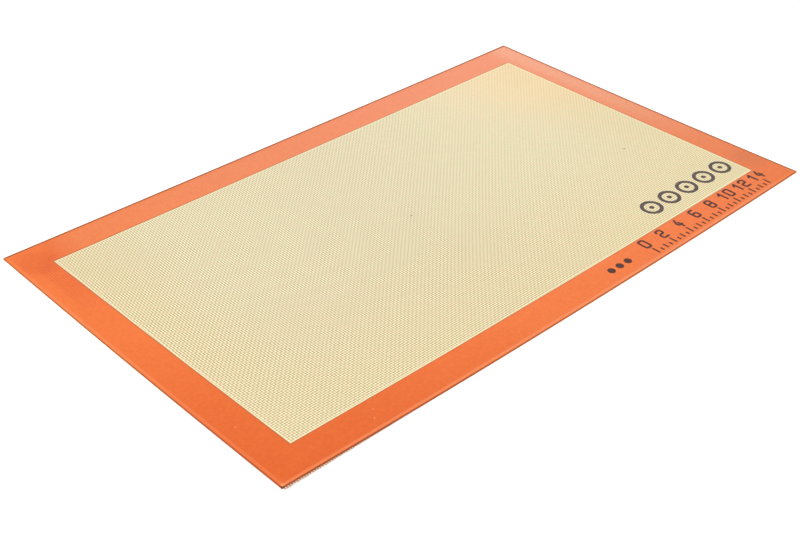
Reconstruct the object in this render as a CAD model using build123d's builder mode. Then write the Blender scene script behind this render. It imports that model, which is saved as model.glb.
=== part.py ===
"""Silicone baking mat: woven glass-fibre cloth between silicone coats, framed in orange silicone.

X runs along the long side, Y along the short side and Z up. The origin lies under the middle of the mat,
on the surface that the mat rests on. Lengths are in millimetres.
"""

from build123d import *
import os

os.makedirs("parts", exist_ok=True)

# The mat's outline
mat_length = 520.0
mat_width = 315.0
corner_radius = 0.5
border_width = 26.5

# The layers, from the underside up
coat_thickness = 0.20
cloth_thickness = 0.45
border_rise = 0.10
ink_thickness = 0.05

# The bead that closes the cut edge and laps onto the border
seal_wall = 0.30
seal_lap = 3.0
seal_lap_thickness = 0.08
seal_round_share = 0.8

# The measuring scale printed on the front border, placed from the mat's right end and front edge
scale_right_inset = 32.0
scale_front_inset = 5.0
scale_length = 140.0
tick_pitch = 5.0
ticks_between_numbers = 4
tick_width = 1.4
short_tick = 3.6
middle_tick = 5.2
long_tick = 7.0
number_gap = 1.5
number_step = 2
digit_height = 11.0
digit_width = 6.8
digit_spacing = 1.2
digit_stroke = 1.8
digit_corner_share = 0.3

# The guide rings printed on the field, placed from the mat's right end and front edge
rings_right_inset = 32.0
rings_front_inset = 37.5
rings_length = 105.0
ring_count = 5
ring_diameter = 18.0
ring_stroke = 3.0
ring_centre_diameter = 4.0

# The three dots printed on the front border, placed from the scale's zero and the front edge
dots_scale_gap = 22.5
dots_front_inset = 11.0
dot_diameter = 6.0
dot_pitch = 9.0
dot_count = 3

# Heights of the layers' upper faces
cloth_bottom = coat_thickness
cloth_top = cloth_bottom + cloth_thickness
field_top = cloth_top + coat_thickness
border_top = field_top + border_rise

# Outlines that several layers share
cloth_length = mat_length - 2 * seal_wall
cloth_width = mat_width - 2 * seal_wall
cloth_corner_radius = corner_radius - seal_wall
field_length = mat_length - 2 * border_width
field_width = mat_width - 2 * border_width
right_end = mat_length / 2
front_edge = -mat_width / 2

# Each digit is one or more strokes through points given as shares of the digit's width and height
digit_stroke_shares = {
    "0": [[(0, 0), (0, 1), (1, 1), (1, 0), (0, 0)]],
    "1": [[(0.55, 0), (0.55, 1)], [(0.55, 1), (0.1, 0.74)]],
    "2": [[(0, 0.8), (0, 1), (1, 1), (1, 0.5), (0, 0.5), (0, 0), (1, 0)]],
    "3": [[(0, 1), (1, 1), (1, 0), (0, 0)], [(0.3, 0.52), (1, 0.52)]],
    "4": [[(0.65, 1), (0, 0.32), (1, 0.32)], [(0.74, 0.6), (0.74, 0)]],
    "5": [[(1, 1), (0, 1), (0, 0.55), (1, 0.55), (1, 0), (0, 0)]],
    "6": [[(0, 0), (0, 0.55), (1, 0.55), (1, 0), (0, 0)], [(0, 0.25), (0, 1), (0.9, 1)]],
    "7": [[(0, 1), (1, 1), (0.4, 0)]],
    "8": [[(0, 0), (0, 1), (1, 1), (1, 0), (0, 0)], [(0, 0.52), (1, 0.52)]],
    "9": [[(0, 0.45), (0, 1), (1, 1), (1, 0.45), (0, 0.45)], [(1, 0.75), (1, 0), (0.1, 0)]],
}


def draw_digit(digit, left, bottom):
    """Add one printed digit to the open sketch, with its outline's lower left corner at the given point."""
    # The strokes' centre lines lie half a stroke inside the digit's outline, and loose ends are round
    span = digit_width - digit_stroke
    rise = digit_height - digit_stroke
    inset = digit_stroke / 2
    for stroke_shares in digit_stroke_shares[digit]:
        points = [(left + inset + u * span, bottom + inset + v * rise) for u, v in stroke_shares]
        with BuildLine() as centre_line:
            if len(points) == 2:
                Line(*points)
            else:
                FilletPolyline(*points, radius=digit_corner_share * span)
        trace(centre_line.line, line_width=digit_stroke)
        if points[0] != points[-1]:
            with Locations(points[0], points[-1]):
                Circle(digit_stroke / 2)


def draw_number(number, centre, bottom):
    """Add a printed whole number to the open sketch, centred on the given place along X."""
    digits = str(number)
    width = len(digits) * digit_width + (len(digits) - 1) * digit_spacing
    for place, digit in enumerate(digits):
        draw_digit(digit, centre - width / 2 + place * (digit_width + digit_spacing), bottom)


# Woven glass-fibre cloth: the full-size core that carries the load, sealed inside the coats
with BuildPart() as glass_fibre_cloth:
    with BuildSketch(Plane.XY.offset(cloth_bottom)):
        RectangleRounded(cloth_length, cloth_width, cloth_corner_radius)
    extrude(amount=cloth_thickness)
glass_fibre_cloth.part.label = "glass_fibre_cloth"
export_step(glass_fibre_cloth.part, "parts/glass_fibre_cloth.step")

# Clear silicone coat on the working side, inside the border
with BuildPart() as top_silicone_coat:
    with BuildSketch(Plane.XY.offset(cloth_top)):
        Rectangle(field_length, field_width)
    extrude(amount=coat_thickness)
top_silicone_coat.part.label = "top_silicone_coat"
export_step(top_silicone_coat.part, "parts/top_silicone_coat.step")

# Clear silicone coat on the underside, cured flat on a belt
with BuildPart() as bottom_silicone_coat:
    with BuildSketch():
        Rectangle(field_length, field_width)
    extrude(amount=coat_thickness)
bottom_silicone_coat.part.label = "bottom_silicone_coat"
export_step(bottom_silicone_coat.part, "parts/bottom_silicone_coat.step")

# Orange silicone frame on the working side, standing a little above the clear coat
with BuildPart() as top_border_coat:
    with BuildSketch(Plane.XY.offset(cloth_top)):
        RectangleRounded(cloth_length, cloth_width, cloth_corner_radius)
        Rectangle(field_length, field_width, mode=Mode.SUBTRACT)
    extrude(amount=coat_thickness + border_rise)
top_border_coat.part.label = "top_border_coat"
export_step(top_border_coat.part, "parts/top_border_coat.step")

# Orange silicone frame on the underside, flush with the clear coat
with BuildPart() as bottom_border_coat:
    with BuildSketch():
        RectangleRounded(cloth_length, cloth_width, cloth_corner_radius)
        Rectangle(field_length, field_width, mode=Mode.SUBTRACT)
    extrude(amount=coat_thickness)
bottom_border_coat.part.label = "bottom_border_coat"
export_step(bottom_border_coat.part, "parts/bottom_border_coat.step")

# Orange silicone bead: a wall down the cut edge, with a lap over the border's outer rim
with BuildPart() as edge_seal:
    with BuildSketch():
        RectangleRounded(mat_length, mat_width, corner_radius)
        RectangleRounded(cloth_length, cloth_width, cloth_corner_radius, mode=Mode.SUBTRACT)
    extrude(amount=border_top)
    with BuildSketch(Plane.XY.offset(border_top)):
        RectangleRounded(mat_length, mat_width, corner_radius)
        Rectangle(mat_length - 2 * seal_lap, mat_width - 2 * seal_lap, mode=Mode.SUBTRACT)
    extrude(amount=seal_lap_thickness)
    seal_upper_face = edge_seal.faces().sort_by(Axis.Z)[-1]
    fillet(seal_upper_face.outer_wire().edges(), radius=seal_round_share * seal_wall)
edge_seal.part.label = "edge_seal"
export_step(edge_seal.part, "parts/edge_seal.step")

# Measuring scale, screen-printed in silicone ink: ticks that rise from the front, numbers above them
scale_zero = right_end - scale_right_inset - scale_length
scale_foot = front_edge + scale_front_inset
numbers_foot = scale_foot + long_tick + number_gap
tick_count = round(scale_length / tick_pitch) + 1
with BuildPart() as printed_scale:
    with BuildSketch(Plane.XY.offset(border_top)):
        for tick in range(tick_count):
            tick_place = scale_zero + tick * tick_pitch
            if tick % ticks_between_numbers == 0:
                tick_height = long_tick
                draw_number(tick // ticks_between_numbers * number_step, tick_place, numbers_foot)
            elif 2 * tick % ticks_between_numbers == 0:
                tick_height = middle_tick
            else:
                tick_height = short_tick
            with Locations((tick_place, scale_foot)):
                Rectangle(tick_width, tick_height, align=(Align.CENTER, Align.MIN))
    extrude(amount=ink_thickness)
printed_scale.part.label = "printed_scale"
export_step(printed_scale.part, "parts/printed_scale.step")

# Guide rings with marked centres, screen-printed in a row on the field
ring_pitch = (rings_length - ring_diameter) / (ring_count - 1)
rings_middle = right_end - rings_right_inset - rings_length / 2
rings_height = front_edge + rings_front_inset + ring_diameter / 2
with BuildPart() as printed_guide_rings:
    with BuildSketch(Plane.XY.offset(field_top)):
        with Locations((rings_middle, rings_height)):
            with GridLocations(ring_pitch, 0, ring_count, 1):
                Circle(ring_diameter / 2)
                Circle(ring_diameter / 2 - ring_stroke, mode=Mode.SUBTRACT)
                Circle(ring_centre_diameter / 2)
    extrude(amount=ink_thickness)
printed_guide_rings.part.label = "printed_guide_rings"
export_step(printed_guide_rings.part, "parts/printed_guide_rings.step")

# Three dots, screen-printed on the border to the left of the scale
dots_middle = scale_zero - dots_scale_gap - dot_diameter / 2 - (dot_count - 1) * dot_pitch / 2
dots_height = front_edge + dots_front_inset + dot_diameter / 2
with BuildPart() as printed_dots:
    with BuildSketch(Plane.XY.offset(border_top)):
        with Locations((dots_middle, dots_height)):
            with GridLocations(dot_pitch, 0, dot_count, 1):
                Circle(dot_diameter / 2)
    extrude(amount=ink_thickness)
printed_dots.part.label = "printed_dots"
export_step(printed_dots.part, "parts/printed_dots.step")
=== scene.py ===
# Silicone baking mat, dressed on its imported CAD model. Lengths are in metres: X runs along the mat's long
# side, Y along its short side and Z up, and the origin lies on the table under the middle of the mat.
from math import pi, radians

import bpy
import numpy as np
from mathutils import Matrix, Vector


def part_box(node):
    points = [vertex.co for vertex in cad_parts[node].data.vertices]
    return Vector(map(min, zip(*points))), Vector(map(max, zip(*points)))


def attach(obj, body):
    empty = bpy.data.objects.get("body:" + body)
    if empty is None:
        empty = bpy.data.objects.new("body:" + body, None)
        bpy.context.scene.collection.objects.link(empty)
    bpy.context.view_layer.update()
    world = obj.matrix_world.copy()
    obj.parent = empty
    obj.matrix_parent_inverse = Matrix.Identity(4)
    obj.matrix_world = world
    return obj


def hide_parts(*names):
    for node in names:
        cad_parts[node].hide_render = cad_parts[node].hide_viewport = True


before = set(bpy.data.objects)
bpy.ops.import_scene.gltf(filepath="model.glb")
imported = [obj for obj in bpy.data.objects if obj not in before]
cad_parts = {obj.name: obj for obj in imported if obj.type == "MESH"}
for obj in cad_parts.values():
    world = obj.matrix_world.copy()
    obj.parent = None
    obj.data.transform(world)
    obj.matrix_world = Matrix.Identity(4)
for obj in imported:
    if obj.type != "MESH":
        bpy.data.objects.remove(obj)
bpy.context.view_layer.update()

# Camera: half a metre above the table, off the mat's near corner and looking along its diagonal.
camera_place = (-0.59148, -0.60231, 0.53028)
camera_tilt, camera_roll, camera_heading = radians(55.567), radians(-0.199), radians(-43.247)
camera_lens = 60.256       # millimetres, on the usual 36 mm sensor
bpy.ops.object.camera_add(location=camera_place, rotation=(camera_tilt, camera_roll, camera_heading))
camera = bpy.context.object
camera.data.lens = camera_lens
bpy.context.scene.camera = camera

# Light: an even, pale studio. A soft panel over the camera's side of the table does most of the work, with a
# smaller one to each side. Low bright panels behind the mat leave a faint veil of gloss on its far border.
bpy.context.scene.view_settings.view_transform = "Standard"
studio_colour, studio_strength = (1.0, 0.995, 0.98, 1), 0.28
studio = bpy.data.worlds.new("studio")
studio.use_nodes = True
background = studio.node_tree.nodes["Background"]
background.inputs["Color"].default_value = studio_colour
background.inputs["Strength"].default_value = studio_strength
bpy.context.scene.world = studio


def add_panel(name, place, turn, size, watts):
    """Add a soft rectangular light."""
    bpy.ops.object.light_add(type="AREA", location=place, rotation=[radians(angle) for angle in turn])
    panel = bpy.context.object
    panel.name = name
    panel.data.shape = "RECTANGLE"
    panel.data.size, panel.data.size_y = size
    panel.data.energy = watts


add_panel("overhead_panel", place=(-0.50, -0.40, 1.60), turn=(0, 0, 0), size=(2.0, 2.0), watts=22)
add_panel("left_panel", place=(-1.00, 0.60, 1.30), turn=(0, -30, 0), size=(1.2, 1.2), watts=5)
add_panel("right_panel", place=(0.90, -0.90, 1.30), turn=(30, 20, 0), size=(1.2, 1.2), watts=2)
add_panel("back_panel", place=(1.35, 1.25, 0.55), turn=(-74, 0, -43), size=(1.5, 0.75), watts=6.5)
add_panel("low_back_panel", place=(1.10, 1.05, 0.40), turn=(-76, 0, -45), size=(0.6, 0.4), watts=1.0)
add_panel("back_left_panel", place=(0.55, 1.55, 0.75), turn=(-68, 0, -18), size=(1.0, 0.6), watts=1.0)

# Table: the photograph's plain white ground, a matt white board that glows a little so that it shows no grey.
table_side = 8.0
board_patch = 0.35
board_shade, board_white = (0.93, 0.93, 0.915, 1), (0.95, 0.95, 0.935, 1)
board_glow, board_glow_strength = (1, 1, 0.99, 1), 0.35


class Shade:
    """One value in a finish's nodes. Python's operators add Math nodes to it; node() adds any other kind."""

    # A Mix node's colour sockets go by number, because its other kinds have sockets with the same names
    mix_share, mix_first, mix_second, mix_result = 0, 6, 7, 2

    def __init__(self, tree, socket):
        self.tree = tree
        self.socket = socket

    def node(self, kind, settings, inputs, output=0):
        """Add a node with its settings, then its sockets' values or links, and give one of its outputs."""
        added = self.tree.nodes.new(kind)
        for name, value in settings.items():
            setattr(added, name, value)
        for name, value in inputs.items():
            if isinstance(value, Shade):
                self.tree.links.new(value.socket, added.inputs[name])
            else:
                added.inputs[name].default_value = value
        return Shade(self.tree, added.outputs[output])

    def maths(self, operation, *values):
        return self.node("ShaderNodeMath", {"operation": operation}, dict(enumerate(values)))

    def __add__(self, other):
        return self.maths("ADD", self, other)

    def __radd__(self, other):
        return self.maths("ADD", other, self)

    def __sub__(self, other):
        return self.maths("SUBTRACT", self, other)

    def __rsub__(self, other):
        return self.maths("SUBTRACT", other, self)

    def __mul__(self, other):
        return self.maths("MULTIPLY", self, other)

    def __rmul__(self, other):
        return self.maths("MULTIPLY", other, self)

    def __abs__(self):
        return self.maths("ABSOLUTE", self)

    def sine(self):
        return self.maths("SINE", self)

    def least(self, other):
        return self.maths("MINIMUM", self, other)

    def most(self, other):
        return self.maths("MAXIMUM", self, other)

    def rise(self, start, end):
        """0 up to the start, 1 from the end on, with a smooth step between; the start may be the greater."""
        limits = {"Value": self, "From Min": start, "From Max": end}
        return self.node("ShaderNodeMapRange", {"interpolation_type": "SMOOTHSTEP"}, limits)

    def axis(self, name):
        return self.node("ShaderNodeSeparateXYZ", {}, {"Vector": self}, name)

    def distance(self, point):
        return self.node("ShaderNodeVectorMath", {"operation": "DISTANCE"}, {0: self, 1: point}, "Value")

    def noise(self, size, detail=2.0):
        """Soft noise from 0 to 1 whose blotches are about this size across."""
        settings = {"Vector": self, "Scale": 1 / size, "Detail": detail}
        return self.node("ShaderNodeTexNoise", {}, settings)

    def blend(self, first, second):
        """Mix two colours, this value being the second one's share."""
        inputs = {self.mix_share: self, self.mix_first: first, self.mix_second: second}
        return self.node("ShaderNodeMix", {"data_type": "RGBA"}, inputs, self.mix_result)

    def tint(self, colour, tint):
        """Multiply a colour by a tint, this value being the tint's strength."""
        settings = {"data_type": "RGBA", "blend_type": "MULTIPLY"}
        inputs = {self.mix_share: self, self.mix_first: colour, self.mix_second: tint}
        return self.node("ShaderNodeMix", settings, inputs, self.mix_result)

    def bump(self, depth):
        """The surface's normal where this value is a height in shares of the depth."""
        return self.node("ShaderNodeBump", {}, {"Height": self, "Distance": depth})


def start_finish(name):
    """A new finish, and the place of each point on it when the mat is flat."""
    finish = bpy.data.materials.new(name)
    finish.use_nodes = True
    shader = Shade(finish.node_tree, None)
    return finish, shader.node("ShaderNodeAttribute", {"attribute_name": "flat_place"}, {}, "Vector")


def set_finish(finish, inputs):
    """Give a finish's shader its values and links."""
    shader = finish.node_tree.nodes["Principled BSDF"]
    for name, value in inputs.items():
        if isinstance(value, Shade):
            finish.node_tree.links.new(value.socket, shader.inputs[name])
        else:
            shader.inputs[name].default_value = value


def vertex_places(piece):
    """The places of a piece's vertices, one row each."""
    places = np.empty(len(piece.data.vertices) * 3, np.float32)
    piece.data.vertices.foreach_get("co", places)
    return places.reshape(-1, 3)


def keep_places(piece, name, places):
    """Keep a place for each vertex as an attribute, which the finishes read."""
    piece.data.attributes.new(name, "FLOAT_VECTOR", "POINT").data.foreach_set("vector", places.ravel())


bpy.ops.mesh.primitive_plane_add(size=table_side)
table = bpy.context.object
table.name = "table"
keep_places(table, "flat_place", vertex_places(table))
table_finish, place = start_finish("white_board")
table_colour = place.noise(board_patch).blend(board_shade, board_white)
set_finish(table_finish, {
    "Base Color": table_colour, "Roughness": 0.9, "Specular IOR Level": 0.1,
    "Emission Color": board_glow, "Emission Strength": board_glow_strength})
table.data.materials.append(table_finish)

# The mat's lie: a flexible sheet of this size never lies dead flat. Its near and far corners curl up a hair,
# its rim, trimmed by hand, runs a few millimetres off a true rectangle, with the clear field a little off the
# middle, and the yarns of its cloth lie a little skew and bowed under the coats.
rim_low, rim_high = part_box("edge_seal")
field_low, field_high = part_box("top_silicone_coat")
corner_radius = 0.0005
near_corner_lift, far_corner_lift, lift_radius = 0.0006, 0.0003, 0.114
edge_faults = {
    # axis and side: shifts of the rim, then of the field's edge, at its low end, its high end and its middle
    (0, -1): ((-0.0012, 0.0012, -0.0008), (-0.0005, -0.0009, -0.0002)),
    (0, 1): ((-0.0038, -0.0046, -0.0010), (-0.0018, -0.0016, 0.0000)),
    (1, -1): ((0.0005, 0.0008, -0.0028), (-0.0001, -0.0001, -0.0017)),
    (1, 1): ((-0.0006, -0.0015, -0.0006), (-0.0017, -0.0026, -0.0002)),
}
yarns_along_length, yarns_along_width = 257, 147
yarn_pitch_x = (field_high.x - field_low.x) / yarns_along_length
yarn_pitch_y = (field_high.y - field_low.y) / yarns_along_width
yarn_drifts = (
    # powers of the shares along X and Y, and drifts in yarns of the warp along X and of the weft along Y
    (0, 0, 0.54, 1.88), (0, 1, 1.83, 0.45), (1, 0, 1.24, 0.93), (0, 2, 1.84, -0.56),
    (1, 1, -0.41, -0.12), (2, 0, 0.64, 0.36), (0, 3, -1.35, -0.53), (1, 2, -0.52, 0.76),
    (2, 1, 0.47, -0.85), (3, 0, -0.71, -0.40), (0, 4, -0.43, 0.03), (1, 3, -0.55, 0.35),
    (2, 2, -0.64, -1.28), (3, 1, 0.60, 0.22), (4, 0, -0.49, 0.55),
)
cell = 0.0100
corner_cut_shares = (1.0, 0.7, 0.4)


def make_active(piece):
    """Select one piece alone, as the one that operators work on."""
    bpy.ops.object.select_all(action="DESELECT")
    piece.select_set(True)
    bpy.context.view_layer.objects.active = piece


def cut_into_cells(piece):
    """Cut a flat piece's faces along a grid, finer at the corners, so that they can follow the mat's lie."""
    make_active(piece)
    bpy.ops.object.mode_set(mode="EDIT")
    for axis, half in ((0, rim_high.x), (1, rim_high.y)):
        cuts = list(np.arange(-half + cell, half - cell / 2, cell))
        for share in corner_cut_shares:
            cuts += [half - corner_radius * share, corner_radius * share - half]
        for cut in cuts:
            bpy.ops.mesh.select_all(action="SELECT")
            point = [cut if i == axis else 0 for i in range(3)]
            normal = [1 if i == axis else 0 for i in range(3)]
            bpy.ops.mesh.bisect(plane_co=point, plane_no=normal)
    bpy.ops.object.mode_set(mode="OBJECT")


def yarn_drift(places):
    """How far the yarns at some places on the flat mat lie from where an even weave would have them."""
    share = places[:, :2] / (field_high.x, field_high.y)
    drift = np.zeros_like(places)
    for power_x, power_y, warp_drift, weft_drift in yarn_drifts:
        weight = share[:, 0] ** power_x * share[:, 1] ** power_y
        drift[:, 0] += weight * warp_drift * yarn_pitch_x
        drift[:, 1] += weight * weft_drift * yarn_pitch_y
    return drift


def lay(piece):
    """Turn a flat piece with square corners into its shape on the mat as it lies."""
    flat = vertex_places(piece)
    keep_places(piece, "flat_place", flat)
    keep_places(piece, "weave_place", flat - yarn_drift(flat))
    placed = flat.copy()
    half = np.array((rim_high.x, rim_high.y))
    side = np.sign(flat[:, :2])

    # In each corner, a square line at some distance from the rim becomes an arc at the same distance
    past = np.abs(flat[:, :2]) - (half - corner_radius)
    corner = (past > 0).all(axis=1)
    reach = past[corner].max(axis=1)
    turn = pi / 4 * past[corner].min(axis=1) / reach
    along_x = past[corner, 0] >= past[corner, 1]
    past[corner, 0] = reach * np.where(along_x, np.cos(turn), np.sin(turn))
    past[corner, 1] = reach * np.where(along_x, np.sin(turn), np.cos(turn))
    placed[corner, :2] = side[corner] * (past[corner] + half - corner_radius)

    # Between the rim and the field's edge, the one's faults fade into the other's
    share = flat[:, :2] / half
    border = half - np.array((field_high.x, field_high.y))
    field_share = np.clip(flat[:, :2] / (half - border), -1, 1)
    into_border = np.clip((np.abs(flat[:, :2]) - (half - border)) / border, 0, 1)
    for (axis, edge_side), faults in edge_faults.items():
        along = share[:, 1 - axis]
        at_rim = into_border[:, axis] * (side[:, axis] == edge_side)
        on_field = (1 - into_border[:, axis]) * (1 + edge_side * field_share[:, axis]) / 2
        weights = ((1 - along) / 2, (1 + along) / 2, 1 - along ** 2)
        for weight, rim_fault, field_fault in zip(weights, *faults):
            placed[:, axis] += weight * (at_rim * rim_fault + on_field * field_fault)

    for side_of_lift, lift in ((-1, near_corner_lift), (1, far_corner_lift)):
        distance = np.linalg.norm(flat[:, :2] - side_of_lift * half, axis=1)
        placed[:, 2] += lift * np.exp(-(distance / lift_radius) ** 2)
    piece.data.vertices.foreach_set("co", placed.ravel())
    piece.data.update()


# Glass-fibre cloth: plain-woven glass yarns, the core that carries the mat. It is coated on both faces and
# cut to size, and where the bead on its edge is worn, by the near corner, the ends of its yarns stand out.
cloth_low, cloth_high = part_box("glass_fibre_cloth")
cloth_hollow, cloth_crown = (0.62, 0.50, 0.30, 1), (0.86, 0.76, 0.56, 1)
cloth_relief = 0.0002


def add_block(name, low, high):
    """Add a closed block between two corners."""
    bpy.ops.object.select_all(action="DESELECT")
    bpy.ops.mesh.primitive_cube_add(size=1, location=(low + high) / 2)
    bpy.ops.transform.resize(value=high - low)
    block = bpy.context.object
    block.name = name
    bpy.ops.object.transform_apply()
    return block


def weave_angles(place):
    """How far each place lies through the weave, along X and along Y: half a turn for each yarn."""
    woven = place.node("ShaderNodeAttribute", {"attribute_name": "weave_place"}, {}, "Vector")
    warp = (woven.axis("X") - field_low.x) * (pi / yarn_pitch_x)
    weft = (woven.axis("Y") - field_low.y) * (pi / yarn_pitch_y)
    return warp, weft


cloth = add_block("glass_cloth", cloth_low, cloth_high)
cut_into_cells(cloth)
lay(cloth)
cloth_finish, place = start_finish("glass_cloth")
warp, weft = weave_angles(place)
yarns = warp.sine() * weft.sine()
cloth_colour = (yarns * 0.5 + 0.5).blend(cloth_hollow, cloth_crown)
set_finish(cloth_finish, {"Base Color": cloth_colour, "Roughness": 0.7, "Normal": yarns.bump(cloth_relief)})
cloth.data.materials.append(cloth_finish)
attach(cloth, "root")
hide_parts("glass_fibre_cloth")

# Cut yarn ends: bundles of glass filaments that stand out of the worn bead, pale in their middles and dark
# at their roots and between them, partly a stain of the bead's skin that still clings there and partly
# painted shade. One end is made and arrayed at the yarns' pitch, and then each is varied.
frayed_length, fray_reach, fray_droop = 0.100, 0.0019, 0.00022
end_width, end_length, end_thickness, end_round = 0.00175, 0.0040, 0.00055, 0.00014
shortest_share = 0.7
yarns_before_field = 13.5
end_count = round(frayed_length / yarn_pitch_x)
first_end = field_low.x - yarns_before_field * yarn_pitch_x
clean_width, clean_reach = (0.45, 0.95), 0.0009
stained_and_shaded_glass, clean_glass = (0.36, 0.110, 0.040, 1), (0.92, 0.74, 0.56, 1)
bpy.ops.object.select_all(action="DESELECT")
bpy.ops.mesh.primitive_cylinder_add(
    vertices=8, radius=0.5, depth=1, location=(first_end, rim_low.y, cloth_low.z + end_thickness / 2),
    rotation=(pi / 2, 0, 0))
bpy.ops.transform.resize(value=(end_width, end_length, end_thickness))
yarn_ends = bpy.context.object
yarn_ends.name = "cut_yarn_ends"
bpy.ops.object.transform_apply()
blunt = yarn_ends.modifiers.new("blunt", "BEVEL")
blunt.width = end_round
blunt.limit_method = "ANGLE"
blunt.angle_limit = radians(60)
bpy.ops.object.modifier_apply(modifier="blunt")
array = yarn_ends.modifiers.new("ends", "ARRAY")
array.count = end_count
array.use_relative_offset = False
array.use_constant_offset = True
array.constant_offset_displace = (yarn_pitch_x, 0, 0)
bpy.ops.object.modifier_apply(modifier="ends")
chance = np.random.default_rng(seed=7)
end_points = vertex_places(yarn_ends).reshape(end_count, -1, 3)
fade = np.linspace(1, 0, end_count)
reach = fray_reach * fade * chance.uniform(shortest_share, 1.0, end_count)
end_points[:, :, 1] += (end_length / 2 - reach)[:, None]
end_points[:, :, 2] -= fray_droop * (end_points[:, :, 1] < rim_low.y)
yarn_ends.data.vertices.foreach_set("co", end_points.ravel())
lay(yarn_ends)
make_active(yarn_ends)
bpy.ops.object.shade_smooth()
ends_finish, place = start_finish("cut_glass_yarn")
# Pale in each end's middle past its root; the dark elsewhere is part stain and part painted shade
stand_out = rim_low.y - place.axis("Y")
in_middle = abs(((place.axis("X") - first_end) * (pi / yarn_pitch_x) + pi / 2).sine())
clean = in_middle.rise(*clean_width) * stand_out.rise(0, clean_reach)
set_finish(ends_finish, {"Base Color": clean.blend(stained_and_shaded_glass, clean_glass), "Roughness": 0.6})
yarn_ends.data.materials.append(ends_finish)
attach(yarn_ends, "root")

# Clear silicone coats: thin, slightly cream silicone cured onto both faces of the cloth. They sink between
# the yarns, so the weave shows as pale crowns, one per crossing, with khaki dashes where the coat is sunk.
# The dashes' dark is partly the coat's own colour and partly painted shade in these hollows, and one flank
# of each crossing is darkened with painted shade as from a side light.
weave_relief, dash_relief = 0.00006, 0.00003
spare_yarns = 8
silicone_ior = 1.41
coat_roughness, patch_roughness = 0.48, 0.14
patch_size, stain_size, cloud_size = 0.0028, 0.007, 0.030
dip_start, mean_dip, mean_sunk = 0.8, 0.268, 0.32
# Strengths of the dips along the warp and the weft and of the painted shade on one flank of each crossing,
# then what each gains behind the front edge and loses toward the right or the back, and the zones where it
# does, from start to end
warp_strength, warp_gain, warp_loss = 0.53, 0.22, 0.80
weft_strength, weft_loss = 0.71, 0.55
flank_shade_strength, flank_shade_gain, flank_shade_loss = 0.26, 0.12, 0.17
gain_zone, warp_loss_zone = (-0.12, -0.05), (-0.04, 0.17)
weft_loss_zone, flank_shade_loss_zone = (-0.03, 0.13), (0, 0.20)
weft_loss_slant = 0.5
# Zones and strengths of the colours that lie over the weave's own
stain_edge, patch_share, cloud_share = (0.35, 0.65), 0.3, 0.22
cool_zone_x, cool_zone_y = (0.225, 0.150), (-0.130, 0.030)
pale_zone, warm_zone = (-0.05, 0.20), (0.150, 0.040)
calm_zone, calm_share = (0.0020, 0.0012), 0.5
shadow_zone, shadow_share, speck_share = (0.0004, 0.0001), 0.2, 0.8
green_stain, pink_stain = (0.80, 0.78, 0.42, 1), (0.97, 0.70, 0.46, 1)
cool_tint, pale_tint, warm_tint = (0.99, 1.03, 1.10, 1), (1.07, 1.085, 1.08, 1), (1.10, 1.00, 0.95, 1)
border_shadow, speck_brown = (0.50, 0.24, 0.10, 1), (0.10, 0.06, 0.04, 1)


def add_sheet(name, size, middle, cells):
    """Add a level sheet of cells, as a piece of its own or to the mesh that is open in edit mode."""
    bpy.ops.mesh.primitive_grid_add(x_subdivisions=cells[0], y_subdivisions=cells[1], size=1, location=middle)
    bpy.ops.transform.resize(value=(size.x, size.y, 1), center_override=middle)
    sheet = bpy.context.object
    if sheet.mode == "OBJECT":
        sheet.name = name
        bpy.ops.object.transform_apply()
    return sheet


def add_woven_coat(name, low, high, outer, inner):
    """Add a closed coat whose outer face has a crown over each crossing of the cloth's yarns."""
    facing = 1 if outer > inner else -1
    middle, size = (low + high) / 2, high - low
    spare = size.copy()
    spare.x, spare.y = size.x + 2 * spare_yarns * yarn_pitch_x, size.y + 2 * spare_yarns * yarn_pitch_y
    fine = (yarns_along_length + 2 * spare_yarns, yarns_along_width + 2 * spare_yarns)
    coarse = (round(size.x / cell), round(size.y / cell))
    bpy.ops.object.select_all(action="DESELECT")
    coat = add_sheet(name, spare, (middle.x, middle.y, outer - facing * weave_relief), fine)
    bpy.ops.object.mode_set(mode="EDIT")
    if facing < 0:
        bpy.ops.mesh.flip_normals()
    bpy.ops.mesh.poke(offset=weave_relief, center_mode="MEDIAN")
    bpy.ops.object.mode_set(mode="OBJECT")

    # The even crossings drift with the yarns, and what then lies past the field's sides is cut off
    even = vertex_places(coat)
    coat.data.vertices.foreach_set("co", (even + yarn_drift(even + yarn_drift(even))).ravel())
    bpy.ops.object.mode_set(mode="EDIT")
    for normal in ((1, 0, 0), (-1, 0, 0), (0, 1, 0), (0, -1, 0)):
        point = [coordinate * field_high[axis] for axis, coordinate in enumerate(normal)]
        bpy.ops.mesh.select_all(action="SELECT")
        bpy.ops.mesh.bisect(plane_co=point, plane_no=normal, clear_outer=True)

    # A coarser inner face is added, and a wall joins the two
    bpy.ops.mesh.select_all(action="DESELECT")
    add_sheet(name, size, (middle.x, middle.y, inner), coarse)
    if facing > 0:
        bpy.ops.mesh.flip_normals()
    bpy.ops.mesh.select_mode(type="EDGE")
    bpy.ops.mesh.select_all(action="DESELECT")
    bpy.ops.mesh.select_non_manifold()
    bpy.ops.mesh.bridge_edge_loops()
    bpy.ops.object.mode_set(mode="OBJECT")
    lay(coat)
    bpy.ops.object.shade_smooth_by_angle(angle=radians(40))
    return coat


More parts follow.
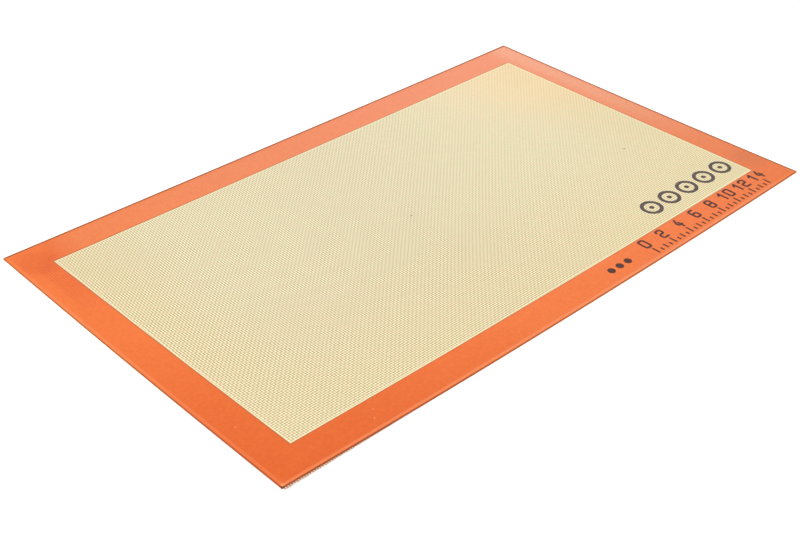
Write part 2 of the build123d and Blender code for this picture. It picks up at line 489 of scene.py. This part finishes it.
def weave_silicone(name, crown, body, sunken, specks):
    """A finish of clear silicone over the woven cloth, in shades from its crowns to its sunken dashes."""
    finish, place = start_finish(name)
    x, y = place.axis("X"), place.axis("Y")
    warp, weft = weave_angles(place)
    over_warp, over_weft = abs(warp.sine()), abs(weft.sine())
    patchy = place.noise(patch_size)

    # How far the coat is sunk: in a dip between each two yarns, deeper on one flank of each crossing, where
    # painted shade stands in for a side light; the same value drives both the dashes' colour and the bump
    behind_front = y.rise(*gain_zone)
    warp_dip, weft_dip = over_warp.rise(dip_start, 0), over_weft.rise(dip_start, 0)
    warp_depth = (warp_strength + behind_front * warp_gain) * (1 - x.rise(*warp_loss_zone) * warp_loss)
    weft_depth = weft_strength - (x * weft_loss_slant + y).rise(*weft_loss_zone) * weft_loss
    flank_shade_share = flank_shade_strength + behind_front * flank_shade_gain - x.rise(*flank_shade_loss_zone) * flank_shade_loss
    shaded_flank = (warp - weft).sine()
    sunk = mean_sunk + (warp_dip - mean_dip) * warp_depth + (weft_dip - mean_dip) * weft_depth
    sunk = sunk * (1 - shaded_flank * flank_shade_share) * (1 - patch_share / 2 + patch_share * patchy)

    # Its colours: the weave's, with painted shade in its dashes and on one flank, soft stains, a cool middle,
    # a paler right side, a warm far corner, and a painted shadow along the border
    from_border = (field_high.x - abs(x)).least(field_high.y - abs(y))
    stain = place.noise(stain_size, 3).rise(*stain_edge).blend(green_stain, pink_stain)
    toward_middle = abs(x).rise(*cool_zone_x) * y.rise(*cool_zone_y)
    at_far_corner = place.distance((field_high.x, field_high.y, 0)).rise(*warm_zone)
    colour = (over_warp * over_weft).blend(body, crown)
    # The dashes' dark: partly the sunken coat's own colour, partly painted shade in the hollows
    colour = (sunk * (1 - calm_share * from_border.rise(*calm_zone))).blend(colour, sunken)
    colour = (place.noise(cloud_size) * cloud_share).blend(colour, stain)
    colour = toward_middle.tint(colour, cool_tint)
    colour = x.rise(*pale_zone).tint(colour, pale_tint)
    colour = at_far_corner.tint(colour, warm_tint)
    colour = (from_border.rise(*shadow_zone) * shadow_share).blend(colour, border_shadow)
    for spot, radius in specks:
        colour = (place.distance(spot).rise(radius, radius / 2) * speck_share).blend(colour, speck_brown)
    height = over_warp * over_weft - sunk
    set_finish(finish, {
        "Base Color": colour, "Roughness": coat_roughness + patch_roughness * patchy, "IOR": silicone_ior,
        "Normal": height.bump(dash_relief)})
    return finish


top_coat = add_woven_coat("top_coat", field_low, field_high, field_high.z, field_low.z)
top_coat.data.materials.append(weave_silicone(
    "cream_silicone", crown=(1.0, 0.96, 0.65, 1), body=(1.0, 0.84, 0.49, 1), sunken=(0.32, 0.150, 0.030, 1),
    specks=[((-0.0076, 0.0039, field_high.z), 0.0012), ((0.187, -0.0405, field_high.z), 0.0010)]))
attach(top_coat, "root")
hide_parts("top_silicone_coat")

under_low, under_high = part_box("bottom_silicone_coat")
bottom_coat = add_woven_coat("bottom_coat", under_low, under_high, under_low.z, under_high.z)
bottom_coat.data.materials.append(weave_silicone(
    "cream_silicone_underside", crown=(0.94, 0.86, 0.58, 1), body=(0.86, 0.72, 0.43, 1),
    sunken=(0.34, 0.16, 0.05, 1), specks=[]))
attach(bottom_coat, "root")
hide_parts("bottom_silicone_coat")

# Orange borders: opaque orange silicone, screened onto both faces of the cloth as a frame round the clear
# field. The one on the working side stands a hair proud, and where it is thin the cloth's yarns telegraph
# through it.
border_low, border_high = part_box("top_border_coat")
step_round = 0.00006
skin_relief, skin_roughness, grain_roughness = 0.00002, 0.33, 0.08
grain_size, mottle_size, drift_size, soft_edge = 0.0008, 0.0022, 0.070, (0.3, 0.7)
# The oranges change past the near corner, where the width counts for more than the length
width_weight = 1.35
deep_zone, far_zone = (0.31, 0.03), (0.42, 0.65)
deep_share, drift_share = 0.85, 0.15
# A thick patch by the left corner, and beside it a stretch so thin that the yarns show
thick_place, thick_zone, thick_share = (-0.2450, 0.1370, border_high.z), (0.022, 0.008), 0.6
thin_start, thin_end, thin_side = (rim_low.x + 0.009, rim_low.x + 0.014), (-0.200, -0.226), (0.050, 0.100)
thin_off_corner, yarn_edge = (0.024, 0.036), (0.3, 0.8)
thin_relief, full_relief, grain_relief = 0.8, 0.2, 0.4
# A painted sheen, pale pink, along the right side and part of the back, and a stain by the right corner
sheen_zone_x, sheen_zone_y = (field_high.x - 0.006, rim_high.x - 0.010), (-0.110, 0.040)
back_sheen_zone_y, back_sheen_start, back_sheen_end = (field_high.y, field_high.y + 0.003), (-0.236, -0.205), (0.050, -0.200)
sheen_share, back_sheen_share = 0.7, 0.25
dull_place, dull_zone, dull_share = (0.2500, -0.1170, border_high.z), (0.024, 0.004), 0.35
# Flecks, and a brown line of painted shade at the step along the inner edge, fainter on the far sides
fleck_zone, fleck_share = (0.0008, 0.0003), 0.45
step_shade_zone, step_shade_share, step_shade_loss = (0.0013, 0.0005), 0.50, 0.20
orange, deep_orange = (0.97, 0.208, 0.036, 1), (0.83, 0.140, 0.016, 1)
far_orange, sheen_pink = (0.89, 0.205, 0.042, 1), (0.90, 0.34, 0.16, 1)
yarn_tint, mottle_tint = (0.84, 0.54, 0.36, 1), (0.96, 0.88, 0.76, 1)
stain_brown, step_shade_brown, fleck_pink = (0.62, 0.17, 0.05, 1), (0.42, 0.13, 0.045, 1), (1.0, 0.52, 0.34, 1)


def draw_ring(name, section):
    """Draw a closed ring round the mat through its section's points: distance in from the rim, and height."""
    last_inward, last_height = section[0]
    bpy.ops.object.select_all(action="DESELECT")
    size = rim_high - rim_low
    size.x, size.y = size.x - 2 * last_inward, size.y - 2 * last_inward
    ring = add_sheet(name, size, (0, 0, last_height), (1, 1))
    bpy.ops.object.mode_set(mode="EDIT")
    bpy.ops.mesh.select_mode(type="EDGE")
    bpy.ops.mesh.delete(type="ONLY_FACE")
    bpy.ops.mesh.select_all(action="SELECT")
    for inward, height in section[1:]:
        bpy.ops.mesh.extrude_region_move(TRANSFORM_OT_translate={"value": (0, 0, height - last_height)})
        narrower = (rim_high.x - inward) / (rim_high.x - last_inward)
        shorter = (rim_high.y - inward) / (rim_high.y - last_inward)
        bpy.ops.transform.resize(value=(narrower, shorter, 1), center_override=(0, 0, height))
        last_inward, last_height = inward, height
    bpy.ops.mesh.select_all(action="DESELECT")
    bpy.ops.mesh.select_non_manifold()
    bpy.ops.mesh.bridge_edge_loops()
    bpy.ops.mesh.select_all(action="SELECT")
    bpy.ops.mesh.normals_make_consistent(inside=False)
    bpy.ops.object.mode_set(mode="OBJECT")
    cut_into_cells(ring)
    lay(ring)
    bpy.ops.object.shade_smooth_by_angle(angle=radians(50))
    return ring


def border_section(low, high):
    """The section of a flat border coat, with the top of its inner edge eased."""
    outer, inner = rim_high.x - high.x, rim_high.x - field_high.x
    return [
        (outer, low.z), (outer, high.z), (inner - 3 * step_round, high.z), (inner - step_round, high.z),
        (inner, high.z - step_round), (inner, low.z),
    ]


def past_near_corner(x, y):
    """How far each place lies past the mat's near corner, the width counting for more than the length."""
    return x - rim_low.x + (y - rim_low.y) * width_weight


def orange_silicone(name, colour, deep, flecks):
    """Opaque orange silicone, deeper where thick, with a painted sheen and painted shade at its inner edge.
    """
    finish, place = start_finish(name)
    x, y = place.axis("X"), place.axis("Y")
    warp, weft = weave_angles(place)
    drift = place.noise(drift_size, 3).rise(*soft_edge)
    grain = place.noise(grain_size)
    from_near_corner = past_near_corner(x, y)
    far_side = from_near_corner.rise(*far_zone)
    thin = x.rise(*thin_start) * x.rise(*thin_end) * y.rise(*thin_side)
    thin = thin * place.distance((rim_low.x, rim_high.y, border_high.z)).rise(*thin_off_corner)
    yarn_lines = (abs(warp.sine()) * 0.5 + abs(weft.sine()) * 0.5).rise(*yarn_edge)
    # Painted sheen along the right side and part of the back
    sheen = x.rise(*sheen_zone_x) * y.rise(*sheen_zone_y) * sheen_share
    back_sheen = y.rise(*back_sheen_zone_y) * x.rise(*back_sheen_start) * x.rise(*back_sheen_end) * back_sheen_share
    inner_edge = (abs(x) - field_high.x).most(abs(y) - field_high.y)
    shade = (from_near_corner.rise(*deep_zone) * deep_share + drift * drift_share).blend(colour, deep)
    shade = (place.distance(thick_place).rise(*thick_zone) * thick_share).blend(shade, deep)
    shade = (thin * (1 - yarn_lines)).tint(shade, yarn_tint)
    shade = far_side.blend(shade, far_orange)
    shade = sheen.most(back_sheen).blend(shade, sheen_pink)
    shade = (place.distance(dull_place).rise(*dull_zone) * dull_share).blend(shade, stain_brown)
    shade = place.noise(mottle_size, 3).rise(*soft_edge).tint(shade, mottle_tint)
    for spot in flecks:
        shade = (place.distance(spot).rise(*fleck_zone) * fleck_share).blend(shade, fleck_pink)
    # Painted shade at the step along the inner edge, fainter on the far sides
    shade = (inner_edge.rise(*step_shade_zone) * (step_shade_share - far_side * step_shade_loss)).blend(shade, step_shade_brown)
    height = (thin * thin_relief + full_relief) * yarn_lines + grain * grain_relief
    set_finish(finish, {
        "Base Color": shade, "Roughness": skin_roughness + grain_roughness * grain, "IOR": silicone_ior,
        "Normal": height.bump(skin_relief)})
    return finish


top_border = draw_ring("top_border", border_section(border_low, border_high))
top_border.data.materials.append(orange_silicone(
    "orange_silicone", colour=orange, deep=deep_orange, flecks=[
        (-0.2479, -0.0976, border_high.z), (-0.1772, -0.1405, border_high.z),
        (-0.182, -0.1472, border_high.z)]))
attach(top_border, "root")
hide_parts("top_border_coat")

under_border_low, under_border_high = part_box("bottom_border_coat")
bottom_border = draw_ring("bottom_border", border_section(under_border_low, under_border_high))
bottom_border.data.materials.append(orange_silicone(
    "orange_silicone_underside", colour=(0.88, 0.180, 0.034, 1), deep=(0.76, 0.122, 0.018, 1), flecks=[]))
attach(bottom_border, "root")
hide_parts("bottom_border_coat")

# Edge seal: a bead of orange silicone run round the cut edge. It closes the side face, painted dark red as
# shade, and laps onto the border's rim, where a painted highlight makes it paler along the two near sides.
seal_wall = cloth_low.x - rim_low.x
seal_section = [
    # distance in from the rim, and height
    (0, 0), (0, 0.00080), (0.00006, 0.00092), (0.00016, 0.00099), (0.00035, 0.00102), (0.0010, rim_high.z),
    (0.0018, 0.00102), (0.0026, 0.00100), (0.0029, 0.00097), (0.0030, border_high.z),
    (seal_wall, border_high.z), (seal_wall, 0),
]
bead_grain_size, flow_size, mitre_zone, front_zone = 0.0009, 0.030, (0.0003, -0.0003), (0.0040, 0.0032)
bead_grain_roughness, side_roughness = 0.10, 0.50
# The lap's painted highlights, then the painted shade of the side face, the far sides and the tip
lap_highlight_pink, tip_highlight_pink = (0.95, 0.270, 0.095, 1), (1.0, 0.40, 0.17, 1)
side_shade_brown, near_end_shade_brown = (0.54, 0.130, 0.018, 1), (0.46, 0.085, 0.012, 1)
far_side_shade_brown, tip_shade_brown = (0.14, 0.045, 0.018, 1), (0.10, 0.022, 0.004, 1)
seal = draw_ring("edge_bead", seal_section)
seal_finish, place = start_finish("orange_bead")
x, y, z = place.axis("X"), place.axis("Y"), place.axis("Z")
grain, flow = place.noise(bead_grain_size), place.noise(flow_size)
from_rim = (rim_high.x - abs(x)).least(rim_high.y - abs(y))
from_near_corner = past_near_corner(x, y)
near_end = from_near_corner.rise(*deep_zone)
past_near_sides = (x - rim_low.x).least(y - rim_low.y)
past_far_sides = (rim_high.x - x).least(rim_high.y - y)
near_sides = (past_near_sides - past_far_sides).rise(*mitre_zone)
front_side = (y - rim_low.y).rise(*front_zone) * near_sides
tip = place.distance((rim_low.x, rim_low.y, rim_high.z))

# The lap has the border's own oranges, with a painted highlight along its swell: most along the front, then
# the near sides and faintly all round, less near the near corner, and not at all by the left and right
# corners; a small painted highlight sits just inside the near corner's tip.
swell_outside, swell_inside, flow_share = (0.0003, 0.0008), (0.0034, 0.0020), 0.6
near_highlight, front_highlight, all_highlight = 0.40, 0.35, 0.10
near_end_loss, front_loss_less = 0.5, 0.2
left_corner_zone, right_corner_zone = (0.015, 0.060), (0.010, 0.050)
tip_highlight_zone, tip_highlight_share = (0.0045, 0.0020), 0.6
swell = from_rim.rise(*swell_outside) * from_rim.rise(*swell_inside)
pale = swell * (near_sides * near_highlight + front_side * front_highlight + all_highlight)
pale = pale * (1 - flow_share / 2 + flow_share * flow)
pale = pale * (1 - near_end * (near_end_loss - front_side * front_loss_less))
pale = pale * place.distance((rim_low.x, rim_high.y, rim_high.z)).rise(*left_corner_zone)
pale = pale * place.distance((rim_high.x, rim_low.y, rim_high.z)).rise(*right_corner_zone)
lap_colour = (near_end * deep_share).blend(orange, deep_orange)
lap_colour = from_near_corner.rise(*far_zone).blend(lap_colour, far_orange)
lap_colour = pale.blend(lap_colour, lap_highlight_pink)
lap_colour = (tip.rise(*tip_highlight_zone) * swell * tip_highlight_share).blend(lap_colour, tip_highlight_pink)

# The side face is painted brown as shade, darkest on the far sides and at the near corner's tip, and so is a
# line of painted shade along the rim, which is narrower on the near sides.
shaded_side_heights, shade_line_zone, near_shade_line_narrowing = (0.00100, 0.00086), (0.0021, 0.0014), 0.0011
shade_line_share, near_shade_line_loss, front_shade_line_gain = 0.75, 0.05, 0.20
tip_shade_zone = (0.0020, 0.0009)
# Painted shade: the side face, and a line along the rim
rim_shade_line = (from_rim + near_sides * near_shade_line_narrowing).rise(*shade_line_zone)
shade_line_strength = shade_line_share - near_shade_line_loss * near_sides + front_shade_line_gain * front_side
side = z.rise(*shaded_side_heights).most(rim_shade_line * shade_line_strength)
side_shade_colour = near_end.blend(side_shade_brown, near_end_shade_brown)
side_shade_colour = near_sides.blend(far_side_shade_brown, side_shade_colour)
side_shade_colour = tip.rise(*tip_shade_zone).blend(side_shade_colour, tip_shade_brown)
set_finish(seal_finish, {
    "Base Color": side.blend(lap_colour, side_shade_colour),
    "Roughness": skin_roughness + bead_grain_roughness * grain + side_roughness * side,
    "IOR": silicone_ior, "Normal": grain.bump(skin_relief)})
seal.data.materials.append(seal_finish)
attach(seal, "root")
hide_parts("edge_seal")

# Printed marks: dark silicone ink, screened on in one pass and cured: a plain scale and three dots on the
# border, and a row of rings on the field, where the ink is thin over the gaps between the yarns.
merge_distance = 0.000001
ink_patch_size, ink_patch_edge, ink_patch_share = 0.0025, (0.45, 0.75), 0.5
warp_gap, weft_gap, weft_gap_share = 0.7, 0.5, 0.6
ink_roughness, ink_patch_roughness = 0.5, 0.2


def add_marks(node, name, finish):
    """Add a piece with the shape of a node's printed marks."""
    marks = bpy.data.objects.new(name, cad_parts[node].data.copy())
    bpy.context.scene.collection.objects.link(marks)
    make_active(marks)
    bpy.ops.object.mode_set(mode="EDIT")
    bpy.ops.mesh.select_all(action="SELECT")
    bpy.ops.mesh.remove_doubles(threshold=merge_distance)
    bpy.ops.object.mode_set(mode="OBJECT")
    lay(marks)
    marks.data.materials.clear()
    marks.data.materials.append(finish)
    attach(marks, "root")
    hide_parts(node)
    return marks


def silicone_ink(name, full, thin, weave_share):
    """A finish of cured ink: its full and its thin colour, and the weave's share in where it is thin."""
    finish, place = start_finish(name)
    warp, weft = weave_angles(place)
    patchy = place.noise(ink_patch_size, 3)
    gaps = abs(warp.sine()).rise(warp_gap, 0).most(abs(weft.sine()).rise(weft_gap, 0) * weft_gap_share)
    thinness = patchy.rise(*ink_patch_edge) * ink_patch_share + gaps * weave_share
    set_finish(finish, {
        "Base Color": thinness.blend(full, thin), "Roughness": ink_roughness + ink_patch_roughness * patchy,
        "IOR": silicone_ior})
    return finish


border_ink = silicone_ink(
    "ink_on_orange", full=(0.070, 0.020, 0.015, 1), thin=(0.16, 0.040, 0.022, 1), weave_share=0.1)
field_ink = silicone_ink(
    "ink_on_cream", full=(0.070, 0.050, 0.055, 1), thin=(0.22, 0.16, 0.12, 1), weave_share=0.6)
scale_marks = add_marks("printed_scale", "scale_marks", border_ink)
dot_marks = add_marks("printed_dots", "dot_marks", border_ink)
ring_marks = add_marks("printed_guide_rings", "ring_marks", field_ink)
